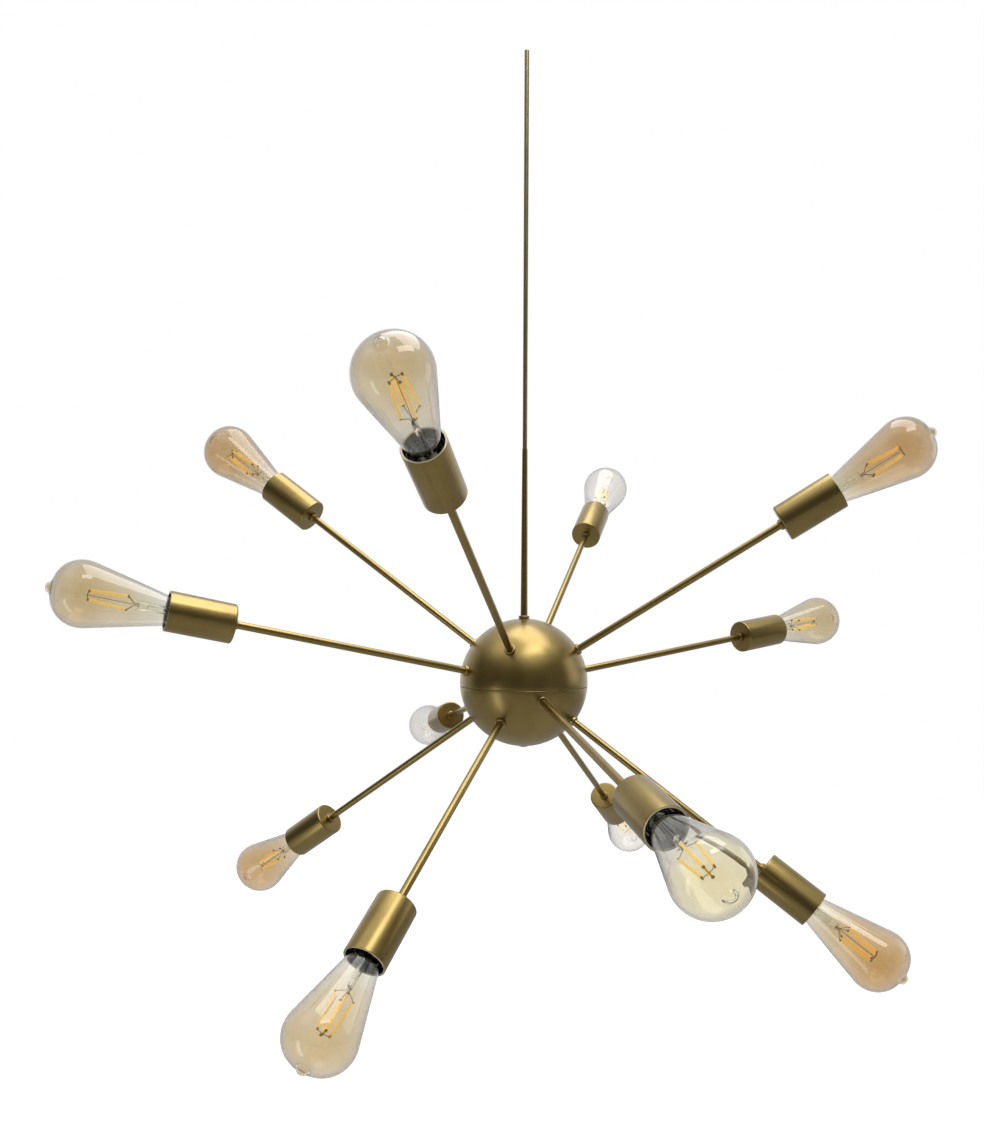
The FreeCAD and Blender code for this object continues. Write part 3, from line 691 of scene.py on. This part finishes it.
def upper_shell_mesh():
    """Upper half of the ball, its lower edge softly rolled."""
    inner = HUB_RADIUS - HUB_WALL
    outer_top = edge_of(HUB_RADIUS, ROD_HOLE)
    inner_top = edge_of(inner, ROD_HOLE)
    outline = [(ROD_HOLE, outer_top)]
    outline += ball_side(HUB_RADIUS, outer_top, -SEAM_DROP)
    outline += [(edge_of(HUB_RADIUS, SEAM_DROP), -SEAM_DROP, SEAM_ROUND)]
    outline += [(edge_of(inner, SEAM_DROP), -SEAM_DROP)]
    outline += ball_side(inner, -SEAM_DROP, inner_top)
    outline += [(ROD_HOLE, inner_top)]
    return lathe("hub_upper", rounded(outline), BALL_SIDES)


def lower_shell_mesh():
    """Lower half of the ball, with the lip that stands inside the upper half."""
    inner = HUB_RADIUS - HUB_WALL
    seam = SEAM_DROP + SEAM_GAP
    lap = edge_of(inner, SEAM_DROP) - 2 * SEAT_GAP
    lap_foot = -seam - LAP_DEPTH
    join = lap_foot - LAP_DEPTH
    outer_low = -edge_of(HUB_RADIUS, SCREW_HOLE)
    inner_low = -edge_of(inner, SCREW_HOLE)
    outline = [(SCREW_HOLE, outer_low)]
    outline += ball_side(HUB_RADIUS, outer_low, -seam)
    outline += [(edge_of(HUB_RADIUS, seam), -seam, SEAM_ROUND)]
    outline += [(lap, -seam), (lap, LAP_RISE), (lap - LAP_WALL, LAP_RISE)]
    outline += [(lap - LAP_WALL, lap_foot), (edge_of(inner, join), join)]
    outline += ball_side(inner, join, inner_low)
    outline += [(SCREW_HOLE, inner_low)]
    return lathe("hub_lower", rounded(outline), BALL_SIDES)


def lower_rod_mesh():
    """Tapered lower rod, with a window at the ball's centre through which the leads come out."""
    foot = SEAT_GAP - edge_of(HUB_RADIUS - HUB_WALL, ROD_FOOT_RADIUS)
    half = WINDOW_HEIGHT / 2
    mesh = lathe("lower_rod", [
        (ROD_BORE, foot),
        (ROD_FOOT_RADIUS, foot),
        (ROD_FOOT_RADIUS, -half),
        (ROD_FOOT_RADIUS, half),
        (ROD_FOOT_RADIUS, HUB_RADIUS + COLLAR_RISE),
        (ROD_WAIST_RADIUS, ROD_BREAK),
        (ROD_BORE, ROD_BREAK),
        (ROD_BORE, half),
        (ROD_BORE, -half),
    ], TUBE_SIDES)
    build = bmesh.new()
    build.from_mesh(mesh)
    opened = []
    for face in build.faces:
        centre = face.calc_center_median()
        if abs(centre.z) < half and abs(centre.x) < WINDOW_WIDTH / 2 and centre.y > 0:
            opened.append(face)
    bmesh.ops.delete(build, geom=opened, context="FACES")
    bmesh.ops.bridge_loops(build, edges=[edge for edge in build.edges if edge.is_boundary])
    bmesh.ops.recalc_face_normals(build, faces=build.faces)
    build.to_mesh(mesh)
    build.free()
    return mesh


def upper_rod_mesh():
    """Thinner upper rod, its spigot down inside the lower one."""
    spigot_radius = ROD_BORE - SEAT_GAP
    spigot_foot = ROD_BREAK - ROD_SPIGOT
    shoulder = ROD_BREAK + SEAT_GAP
    return lathe("upper_rod", rounded([
        (ROD_TOP_BORE, spigot_foot),
        (spigot_radius, spigot_foot, TUBE_END_ROUND),
        (spigot_radius, shoulder),
        (ROD_TOP_RADIUS, shoulder),
        (ROD_TOP_RADIUS, ROD_REACH, TUBE_END_ROUND),
        (ROD_TOP_BORE, ROD_REACH),
    ]), TUBE_SIDES)


def dress_ball_and_rod():
    """Both halves of the ball and both lengths of the rod."""
    for name, mesh, material, node in (
            ("hub_upper", upper_shell_mesh(), BRASS, "hub_upper_shell"),
            ("hub_lower", lower_shell_mesh(), BRASS, "hub_lower_shell"),
            ("rod_foot", lower_rod_mesh(), BRASS, "rod_lower"),
            ("rod_top", upper_rod_mesh(), PALE_BRASS, "rod_upper")):
        put(name, coated(mesh, material), ROD_FRAME, "root", "brass", node)


# ---------------------------------------------------------------- arms
def tube_mesh():
    """Drawn tube, its inner end inside the ball and its outer end in the holder."""
    start = HUB_RADIUS - HUB_WALL - TUBE_TAIL
    end = CUP_PLACE + CUP_FLOOR + SEAT_GAP + HOLDER_ENTRY
    return lathe("arm_tube", rounded([
        (TUBE_BORE, start, TUBE_END_ROUND),
        (TUBE_RADIUS, start, TUBE_END_ROUND),
        (TUBE_RADIUS, end, TUBE_END_ROUND),
        (TUBE_BORE, end, TUBE_END_ROUND),
    ]), TUBE_SIDES)


def collar_mesh():
    """Small turned ring, its foot on the ball."""
    bore = TUBE_RADIUS + SEAT_GAP
    seat = HUB_RADIUS + SEAT_GAP
    top = HUB_RADIUS + COLLAR_RISE
    return lathe("hub_collar", rounded([
        (bore, edge_of(seat, bore)),
        (COLLAR_RADIUS, edge_of(seat, COLLAR_RADIUS)),
        (COLLAR_RADIUS, top, COLLAR_BEVEL),
        (bore, top, COLLAR_BEVEL / 3),
    ]), RING_SIDES)


def cup_ring_mesh():
    """Stepped ring behind the cup."""
    bore = TUBE_RADIUS + SEAT_GAP
    top = CUP_PLACE - SEAT_GAP
    foot = top - RING_HEIGHT
    shelf = foot + RING_STEP
    crown = RING_RADIUS - RING_STEP
    return lathe("cup_ring", rounded([
        (bore, foot),
        (crown, foot, RING_EDGE_ROUND),
        (crown, shelf, RING_STEP_ROUND),
        (RING_RADIUS, shelf, RING_SHELF_ROUND),
        (RING_RADIUS, top, RING_EDGE_ROUND),
        (bore, top),
    ]), RING_SIDES)


def cup_mesh():
    """Spun cup: flat back with a soft edge, straight wall, and a lip rolled inward at the mouth.
    The lacquer covers the outside only, so the lip's face and the inside are bare."""
    bore = TUBE_RADIUS + 2 * SEAT_GAP
    inner = CUP_RADIUS - CUP_WALL
    inner_back = CUP_PLACE + CUP_FLOOR
    lip = CUP_RADIUS - CUP_LIP_WALL
    lip_foot = CUP_MOUTH - CUP_LIP_DEPTH
    mesh = coated(lathe("lamp_cup", rounded([
        (bore, CUP_PLACE),
        (CUP_RADIUS, CUP_PLACE, CUP_BACK_ROUND),
        (CUP_RADIUS, CUP_MOUTH, CUP_LIP_ROUND),
        (lip, CUP_MOUTH, CUP_LIP_ROUND),
        (lip, lip_foot, CUP_LIP_ROUND),
        (inner, lip_foot - CUP_WALL),
        (inner, inner_back, CUP_BACK_ROUND / 2),
        (bore, inner_back),
    ]), CUP_SIDES), BRUSHED_BRASS, BARE_BRASS)
    for face in mesh.polygons:
        if face.center.z > inner_back and face.center.xy.length < CUP_RADIUS - CUP_LIP_ROUND:
            face.material_index = 1
    return mesh


def holder_mesh():
    """Moulded lampholder: socket for the tube, wiring chamber, floor, and the throat round the
    bulb's cap."""
    bore = TUBE_RADIUS + SEAT_GAP
    back = CUP_PLACE + CUP_FLOOR + SEAT_GAP
    chamber_foot = back + HOLDER_ENTRY + SEAT_GAP
    chamber_top = chamber_foot + CHAMBER_DEPTH
    deck = chamber_top + HOLDER_FLOOR
    face = CUP_MOUTH - HOLDER_RECESS
    throat_foot = CUP_MOUTH - THROAT_DEPTH
    return lathe("lampholder", rounded([
        (bore, back),
        (HOLDER_RADIUS, back, HOLDER_BACK_ROUND),
        (HOLDER_RADIUS, face, HOLDER_FRONT_ROUND),
        (THROAT_RADIUS, face, HOLDER_FRONT_ROUND),
        (THROAT_RADIUS, throat_foot, THROAT_ROUND),
        (SHELL_SEAT, throat_foot, THROAT_ROUND),
        (SHELL_SEAT, deck),
        (0, deck),
        (0, chamber_top),
        (CHAMBER_RADIUS, chamber_top),
        (CHAMBER_RADIUS, chamber_foot),
        (bore, chamber_foot),
    ]), HOLDER_SIDES)


def dress_arms():
    """Each arm's tube, collar, ring, cup and holder, and the rod's collar."""
    tube = coated(tube_mesh(), BRASS)
    collar = coated(collar_mesh(), LIT_COLLAR_BRASS)
    ring = coated(cup_ring_mesh(), BRASS)
    cup = cup_mesh()
    holder = coated(holder_mesh(), HOLDER_BLACK)
    for arm, matrix in ARM_FRAMES.items():
        put("tube_" + arm, tube, matrix, "root", "brass", "arm_tube_" + arm)
        put("collar_" + arm, collar, matrix, "root", "brass", "hub_collars")
        put("ring_" + arm, ring, matrix, "root", "brass", "cup_rings")
        put("cup_" + arm, cup, matrix, "root", "brass", "lamp_cup_" + arm)
        put("holder_" + arm, holder, matrix, "root", "black_holder", "lampholder_bodies")
    put("collar_rod", collar, ROD_FRAME, "root", "brass", "hub_collars")


# ---------------------------------------------------------------- bulbs
def envelope_outline(inset):
    """Outline of the glass from the neck's foot up to the axis, an inset inside the outer face."""
    neck_radius = NECK_RADIUS - inset
    shoulder = CAP_RIM + SHOULDER_RISE
    flank_foot = MOUTH_RADIUS - math.tan(FLANK_SLOPE) * (CUP_MOUTH - shoulder) - inset
    nipple = NIPPLE_RADIUS - inset
    nipple_foot = END_CENTRE + edge_of(END_ROUND, NIPPLE_RADIUS) - inset
    nipple_top = END_HEIGHT + NIPPLE_RISE - inset
    end_stop = math.acos(2 * nipple / END_ROUND)
    outline = rounded([
        (neck_radius, NECK_FOOT),
        (neck_radius, CAP_RIM + SHOULDER_FOOT, SHOULDER_FOOT_ROUND),
        (flank_foot, shoulder, SHOULDER_ROUND),
        (MOUTH_RADIUS - inset, CUP_MOUTH),
    ])
    outline += arc((BELLY_OFFSET, BELLY_HEIGHT), BELLY_ROUND - inset, -FLANK_SLOPE, BLEND_ANGLE)
    outline += arc((0, END_CENTRE), END_ROUND - inset, BLEND_ANGLE, end_stop)[1:]
    outline += rounded([
        tuple(outline[-1]),
        (nipple, nipple_foot, NIPPLE_FILLET + inset),
        (NIPPLE_TIP - inset, nipple_top, NIPPLE_ROUND - inset),
        (0, nipple_top),
    ])[1:]
    return outline


def envelope_mesh():
    """Blown glass with a wall: clear neck, straight flank, round belly, flatter end and sealed
    nipple."""
    return lathe("glass_envelope", envelope_outline(0) + envelope_outline(GLASS_WALL)[::-1],
                 CUP_SIDES)


def stem_mesh():
    """Glass funnel sealed into the neck, and the tube that rises from it to a flattened pinch."""
    top = CUP_MOUTH + STEM_TOP
    pinch_foot = top - PINCH_LENGTH
    mesh = lathe("glass_stem", rounded([
        (STEM_BORE, NECK_FOOT),
        (NECK_RADIUS - GLASS_WALL - SEAT_GAP, NECK_FOOT, FLARE_EDGE),
        (STEM_RADIUS, NECK_FOOT + FLARE_HEIGHT, STEM_FILLET),
        (STEM_RADIUS, top, STEM_TOP_ROUND),
        (0, top),
        (0, pinch_foot),
        (STEM_BORE, pinch_foot, STEM_BORE_ROUND),
    ]), TUBE_SIDES)
    for vertex in mesh.vertices:
        share = max(0.0, min(1.0, (vertex.co.z - pinch_foot) / (PINCH_EASE * PINCH_LENGTH)))
        pinch = share * share * (3 - 2 * share)
        vertex.co.x *= 1 + PINCH_WIDENING * pinch
        vertex.co.y *= 1 - PINCH_FLATTENING * pinch
    return mesh


def strip_lines():
    """Each filament strip's side of the bulb, its neck end, its tip end and its run."""
    lines = []
    for number in range(STRIPS):
        angle = 2 * math.pi * (number + 0.5) / STRIPS
        side = Vector((math.cos(angle), math.sin(angle), 0))
        low = side * STRIP_SPLAY + UP * (CUP_MOUTH + STRIP_LOW)
        high = side * STRIP_PINCH + UP * (CUP_MOUTH + STRIP_HIGH)
        lines.append((side, low, high, (high - low).normalized()))
    return lines


def filament_mesh():
    """The coated strips."""
    section = strip_section(STRIP_WIDTH, STRIP_DEPTH)
    bars = []
    for _, low, high, run in strip_lines():
        path = [low + run * STRIP_TRIM, low.lerp(high, 0.5), high - run * STRIP_TRIM]
        bars.append((path, section))
    return mesh_of("filaments", bars)


def wire_mesh():
    """Leads from the pinch out to the strips, a centre wire, and the short coils that join the
    strips' tips."""
    pinch = UP * (CUP_MOUTH + STEM_TOP - WIRE_ROOT_DEPTH)
    tip = UP * (CUP_MOUTH + STRIP_HIGH + WIRE_TIP_RISE)
    section = round_section(WIRE_RADIUS)
    tab = strip_section(STRIP_WIDTH * TAB_WIDTH, STRIP_DEPTH * TAB_DEPTH)
    bars = [(smooth_path([pinch, pinch.lerp(tip, 0.5), tip]), section)]
    for side, low, high, run in strip_lines():
        root = pinch + side * WIRE_ROOT_REACH
        elbow = side * STRIP_SPLAY * ELBOW_REACH + UP * (low.z - ELBOW_DROP)
        bars.append((smooth_path([root, root + UP * WIRE_RISE, elbow, low]), section))
        bars.append(([low - run * TAB_OUTSIDE, low + run * TAB_INSIDE], tab))
        bars.append(([high - run * TAB_INSIDE, high + run * TAB_OUTSIDE], tab))
        coil = [high + run * TAB_OUTSIDE]
        for bend in range(1, COIL_BENDS):
            sway = side.cross(UP) * (COIL_SWAY if bend % 2 else -COIL_SWAY)
            coil.append(high.lerp(tip, bend / COIL_BENDS) + sway)
        bars.append((smooth_path(coil + [tip], COIL_STEPS), section))
    return mesh_of("filament_wires", bars)


def thread_wave(radius, height, angle):
    """How far the rolled thread stands in from the cap's side, which is plain at rim and foot."""
    if radius < CAP_RADIUS - CAP_WALL / 2:
        return 0
    below_rim = CAP_RIM - THREAD_RIM_GAP - height
    above_foot = height - CAP_FOOT - THREAD_FOOT_GAP
    fade = max(0.0, min(1.0, below_rim / THREAD_FADE, above_foot / THREAD_FADE))
    phase = 2 * math.pi * height / THREAD_PITCH - angle
    return -THREAD_DEPTH * fade * (0.5 - 0.5 * math.cos(phase))


def cap_mesh():
    """Screw cap with a rolled thread between a plain rim and a plain foot."""
    low = CAP_FOOT + CAP_FOOT_EDGE
    high = CAP_RIM - CAP_RIM_EDGE
    inner = CAP_RADIUS - CAP_WALL
    outline = [(INSULATOR_NOSE, CAP_FOOT), (CAP_RADIUS - CAP_FOOT_EDGE, CAP_FOOT)]
    for index in range(CAP_RINGS + 1):
        outline.append((CAP_RADIUS, low + (high - low) * index / CAP_RINGS))
    outline += [(CAP_RADIUS - CAP_RIM_EDGE, CAP_RIM), (inner, CAP_RIM)]
    outline += [(inner, CAP_FOOT + CAP_WALL), (INSULATOR_NOSE, CAP_FOOT + CAP_WALL)]
    return lathe("cap_shell", outline, CAP_SIDES, thread_wave)


def insulator_mesh():
    """Black glass between the cap and its centre contact."""
    foot = CAP_FOOT - INSULATOR_HEIGHT
    skirt = CAP_FOOT - SEAT_GAP
    return lathe("cap_insulator", rounded([
        (0, foot),
        (INSULATOR_NOSE, foot, INSULATOR_ROUND),
        (CAP_RADIUS - INSULATOR_EDGE, skirt, INSULATOR_EDGE),
        (0, skirt),
    ]), RING_SIDES)


def contact_mesh():
    """Centre contact under the insulator."""
    top = CAP_FOOT - INSULATOR_HEIGHT - SEAT_GAP
    foot = top - CONTACT_HEIGHT
    return lathe("cap_contact", rounded([
        (0, foot),
        (CONTACT_RADIUS, foot, CONTACT_ROUND),
        (CONTACT_RADIUS, top),
        (0, top),
    ]), TUBE_SIDES)


def dress_bulbs():
    """Each bulb's glass and what it holds, on the turning body, and its cap, on the sliding one."""
    envelope = envelope_mesh()
    glass_parts = [
        ("stem_", coated(stem_mesh(), STEM_GLASS), "amber_glass"),
        ("filaments_", coated(filament_mesh(), PHOSPHOR), "wire_sheath"),
        ("wires_", coated(wire_mesh(), DARK_WIRE), "nickel"),
    ]
    base_parts = [
        ("cap_", coated(cap_mesh(), NICKEL), "nickel"),
        ("insulator_", coated(insulator_mesh(), CAP_INSULATOR), "black_holder"),
        ("contact_", coated(contact_mesh(), NICKEL), "nickel"),
    ]
    for arm, matrix in ARM_FRAMES.items():
        glass_body, glass_node = "bulb_" + arm, "bulb_glass_" + arm
        base_body, base_node = "bulb_cap_" + arm, "bulb_base_" + arm
        blown = put("envelope_" + arm, envelope, matrix, glass_body, "amber_glass", glass_node)
        coated(blown.data, BULB_GLASS[arm])
        for name, mesh, material_slot in glass_parts:
            put(name + arm, mesh, matrix, glass_body, material_slot, glass_node)
        for name, mesh, material_slot in base_parts:
            put(name + arm, mesh, matrix, base_body, material_slot, base_node)


# ---------------------------------------------------------------- CAD pieces that stay
def dress_cad():
    """The pieces whose CAD shape stays take a finish in their own material slots."""
    finishes = {
        "hub_": BRASS,
        "bottom_screw": BRASS,
        "lampholder_contacts": NICKEL,
        "terminal_block": CERAMIC,
        "wiring": SHEATH,
    }
    for name, node in frame["nodes"].items():
        for start, material in finishes.items():
            if name.startswith(start):
                for material_slot in node.material_slots:
                    material_slot.material = material


# ---------------------------------------------------------------- stage and light
FLOOR_DEPTH = 2.6
FLOOR_REACH = 9.0
FLOOR_SCALE = 3
FLOOR_TONES = ((0.46, 0.46, 0.455), (0.50, 0.50, 0.495))
FLOOR_ROUGHNESS = 0.9
FLOOR_LIFT = 0.85       # glow that brings the floor to white for the camera
WHITE = (1, 1, 1, 1)

# the room that metal sees, from straight below to straight above
ROOM_HEIGHTS = (0.0, 0.30, 0.45, 0.60, 0.76, 0.90)
ROOM_TONES = ((0.22, 0.22, 0.21), (0.10, 0.10, 0.095), (0.11, 0.107, 0.10),
              (0.11, 0.107, 0.10), (0.14, 0.14, 0.135), (1.0, 1.0, 1.0))
PATCH_SCALE = 1.7
PATCH_TONES = ((0.55, 0.55, 0.56), (1.3, 1.3, 1.28))
BACKDROP_SPAN = (0.15, 0.8)     # how far behind the lamp a direction points
BACKDROP_TONE = (0.7, 0.7, 0.7, 1)

# name, place from the hub, width and height, watts
PANELS = (
    ("key_panel", (0.55, -1.0, 2.0), (1.3, 0.5), 8),
    ("low_strip", (-1.5, -1.2, -0.9), (0.35, 1.3), 2.2),
    ("side_panel", (2.0, 0.3, 0.5), (0.9, 1.2), 2.2),
    ("ceiling_panel", (0.25, 0.2, 2.0), (1.9, 1.3), 18),
)


def build_floor():
    """A wide pale floor, lifted to white where the camera looks."""
    mesh = bpy.data.meshes.new("floor")
    corners = [(-1, -1), (1, -1), (1, 1), (-1, 1)]
    points = [(x * FLOOR_REACH, y * FLOOR_REACH, -FLOOR_DEPTH) for x, y in corners]
    mesh.from_pydata(points, [], [(0, 1, 2, 3)])
    floor = bpy.data.objects.new("floor", mesh)
    bpy.context.scene.collection.objects.link(floor)
    material, tree, shader = new_material("pale_floor")
    tones = ramp(tree, noise(tree, FLOOR_SCALE), WIDE_BLEND, FLOOR_TONES)
    tree.links.new(tones, shader.inputs["Base Color"])
    shader.inputs["Roughness"].default_value = FLOOR_ROUGHNESS
    shader.inputs["Emission Color"].default_value = WHITE
    lift = worked_out(tree, "MULTIPLY", looked_at(tree), FLOOR_LIFT)
    tree.links.new(lift, shader.inputs["Emission Strength"])
    coated(mesh, material)


def build_world():
    """White where the camera looks, straight or through glass. Metal sees the pale backdrop
    behind the lamp, and before it a room with a bright ceiling, dim walls and a paler floor."""
    world = bpy.data.worlds.new("studio")
    bpy.context.scene.world = world
    world.use_nodes = True
    tree = world.node_tree
    place = tree.nodes.new("ShaderNodeTexCoord").outputs["Generated"]
    height = remapped(tree, part_of(tree, place, "Z"), (-1, 1))
    walls = ramp(tree, height, ROOM_HEIGHTS, ROOM_TONES)
    patches = tree.nodes.new("ShaderNodeTexNoise")
    patches.inputs["Scale"].default_value = PATCH_SCALE
    tree.links.new(place, patches.inputs["Vector"])
    uneven = ramp(tree, patches.outputs["Fac"], GRAIN_BLEND, PATCH_TONES)
    room = mixed(tree, 1, walls, uneven, "MULTIPLY")
    backdrop = remapped(tree, part_of(tree, place, "Y"), BACKDROP_SPAN)
    around = mixed(tree, backdrop, room, BACKDROP_TONE)
    shown = mixed(tree, looked_at(tree), around, WHITE)
    tree.links.new(shown, tree.nodes["Background"].inputs["Color"])


def build_lights():
    """Soft panels that face the hub."""
    for name, place, size, power in PANELS:
        data = bpy.data.lights.new(name, "AREA")
        data.shape = "RECTANGLE"
        data.size, data.size_y = size
        data.energy = power
        lamp = bpy.data.objects.new(name, data)
        lamp.location = HUB + Vector(place)
        lamp.rotation_euler = (HUB - lamp.location).to_track_quat("-Z", "Y").to_euler()
        bpy.context.scene.collection.objects.link(lamp)


# ---------------------------------------------------------------- camera
IMAGE_WIDTH = 984
IMAGE_HEIGHT = 1132
HUB_PIXEL = (523.7, 682.3)
LENS_CENTRE_PIXEL = (509.7, 684.2)
LENS_PIXELS = 954.2
HUB_DISTANCE = 1.0937
CAMERA_TILT = math.radians(4.23)
CAMERA_ROLL = math.radians(0.23)
SENSOR = 36


def build_camera():
    """The photograph's viewpoint: a little above the hub and close to it."""
    data = bpy.data.cameras.new("camera")
    data.sensor_fit = "VERTICAL"
    data.sensor_height = SENSOR
    data.lens = LENS_PIXELS * SENSOR / IMAGE_HEIGHT
    data.shift_x = (IMAGE_WIDTH / 2 - LENS_CENTRE_PIXEL[0]) / IMAGE_HEIGHT
    data.shift_y = (LENS_CENTRE_PIXEL[1] - IMAGE_HEIGHT / 2) / IMAGE_HEIGHT
    up = Vector((math.sin(CAMERA_ROLL), math.cos(CAMERA_ROLL) * math.cos(CAMERA_TILT),
                 math.cos(CAMERA_ROLL) * math.sin(CAMERA_TILT)))
    back = (UP - up * up.z).normalized()
    right = up.cross(back)
    hub_seen = HUB_DISTANCE * Vector(((HUB_PIXEL[0] - LENS_CENTRE_PIXEL[0]) / LENS_PIXELS,
                                      (LENS_CENTRE_PIXEL[1] - HUB_PIXEL[1]) / LENS_PIXELS, -1))
    to_world = Matrix((right, -back, up))
    camera = bpy.data.objects.new("camera", data)
    camera.matrix_world = Matrix.Translation(HUB - to_world @ hub_seen) @ to_world.to_4x4()
    bpy.context.scene.collection.objects.link(camera)
    bpy.context.scene.camera = camera


dress_cad()
dress_ball_and_rod()
dress_arms()
dress_bulbs()
build_floor()
build_world()
build_lights()
build_camera()
bpy.context.scene.view_settings.view_transform = "Standard"
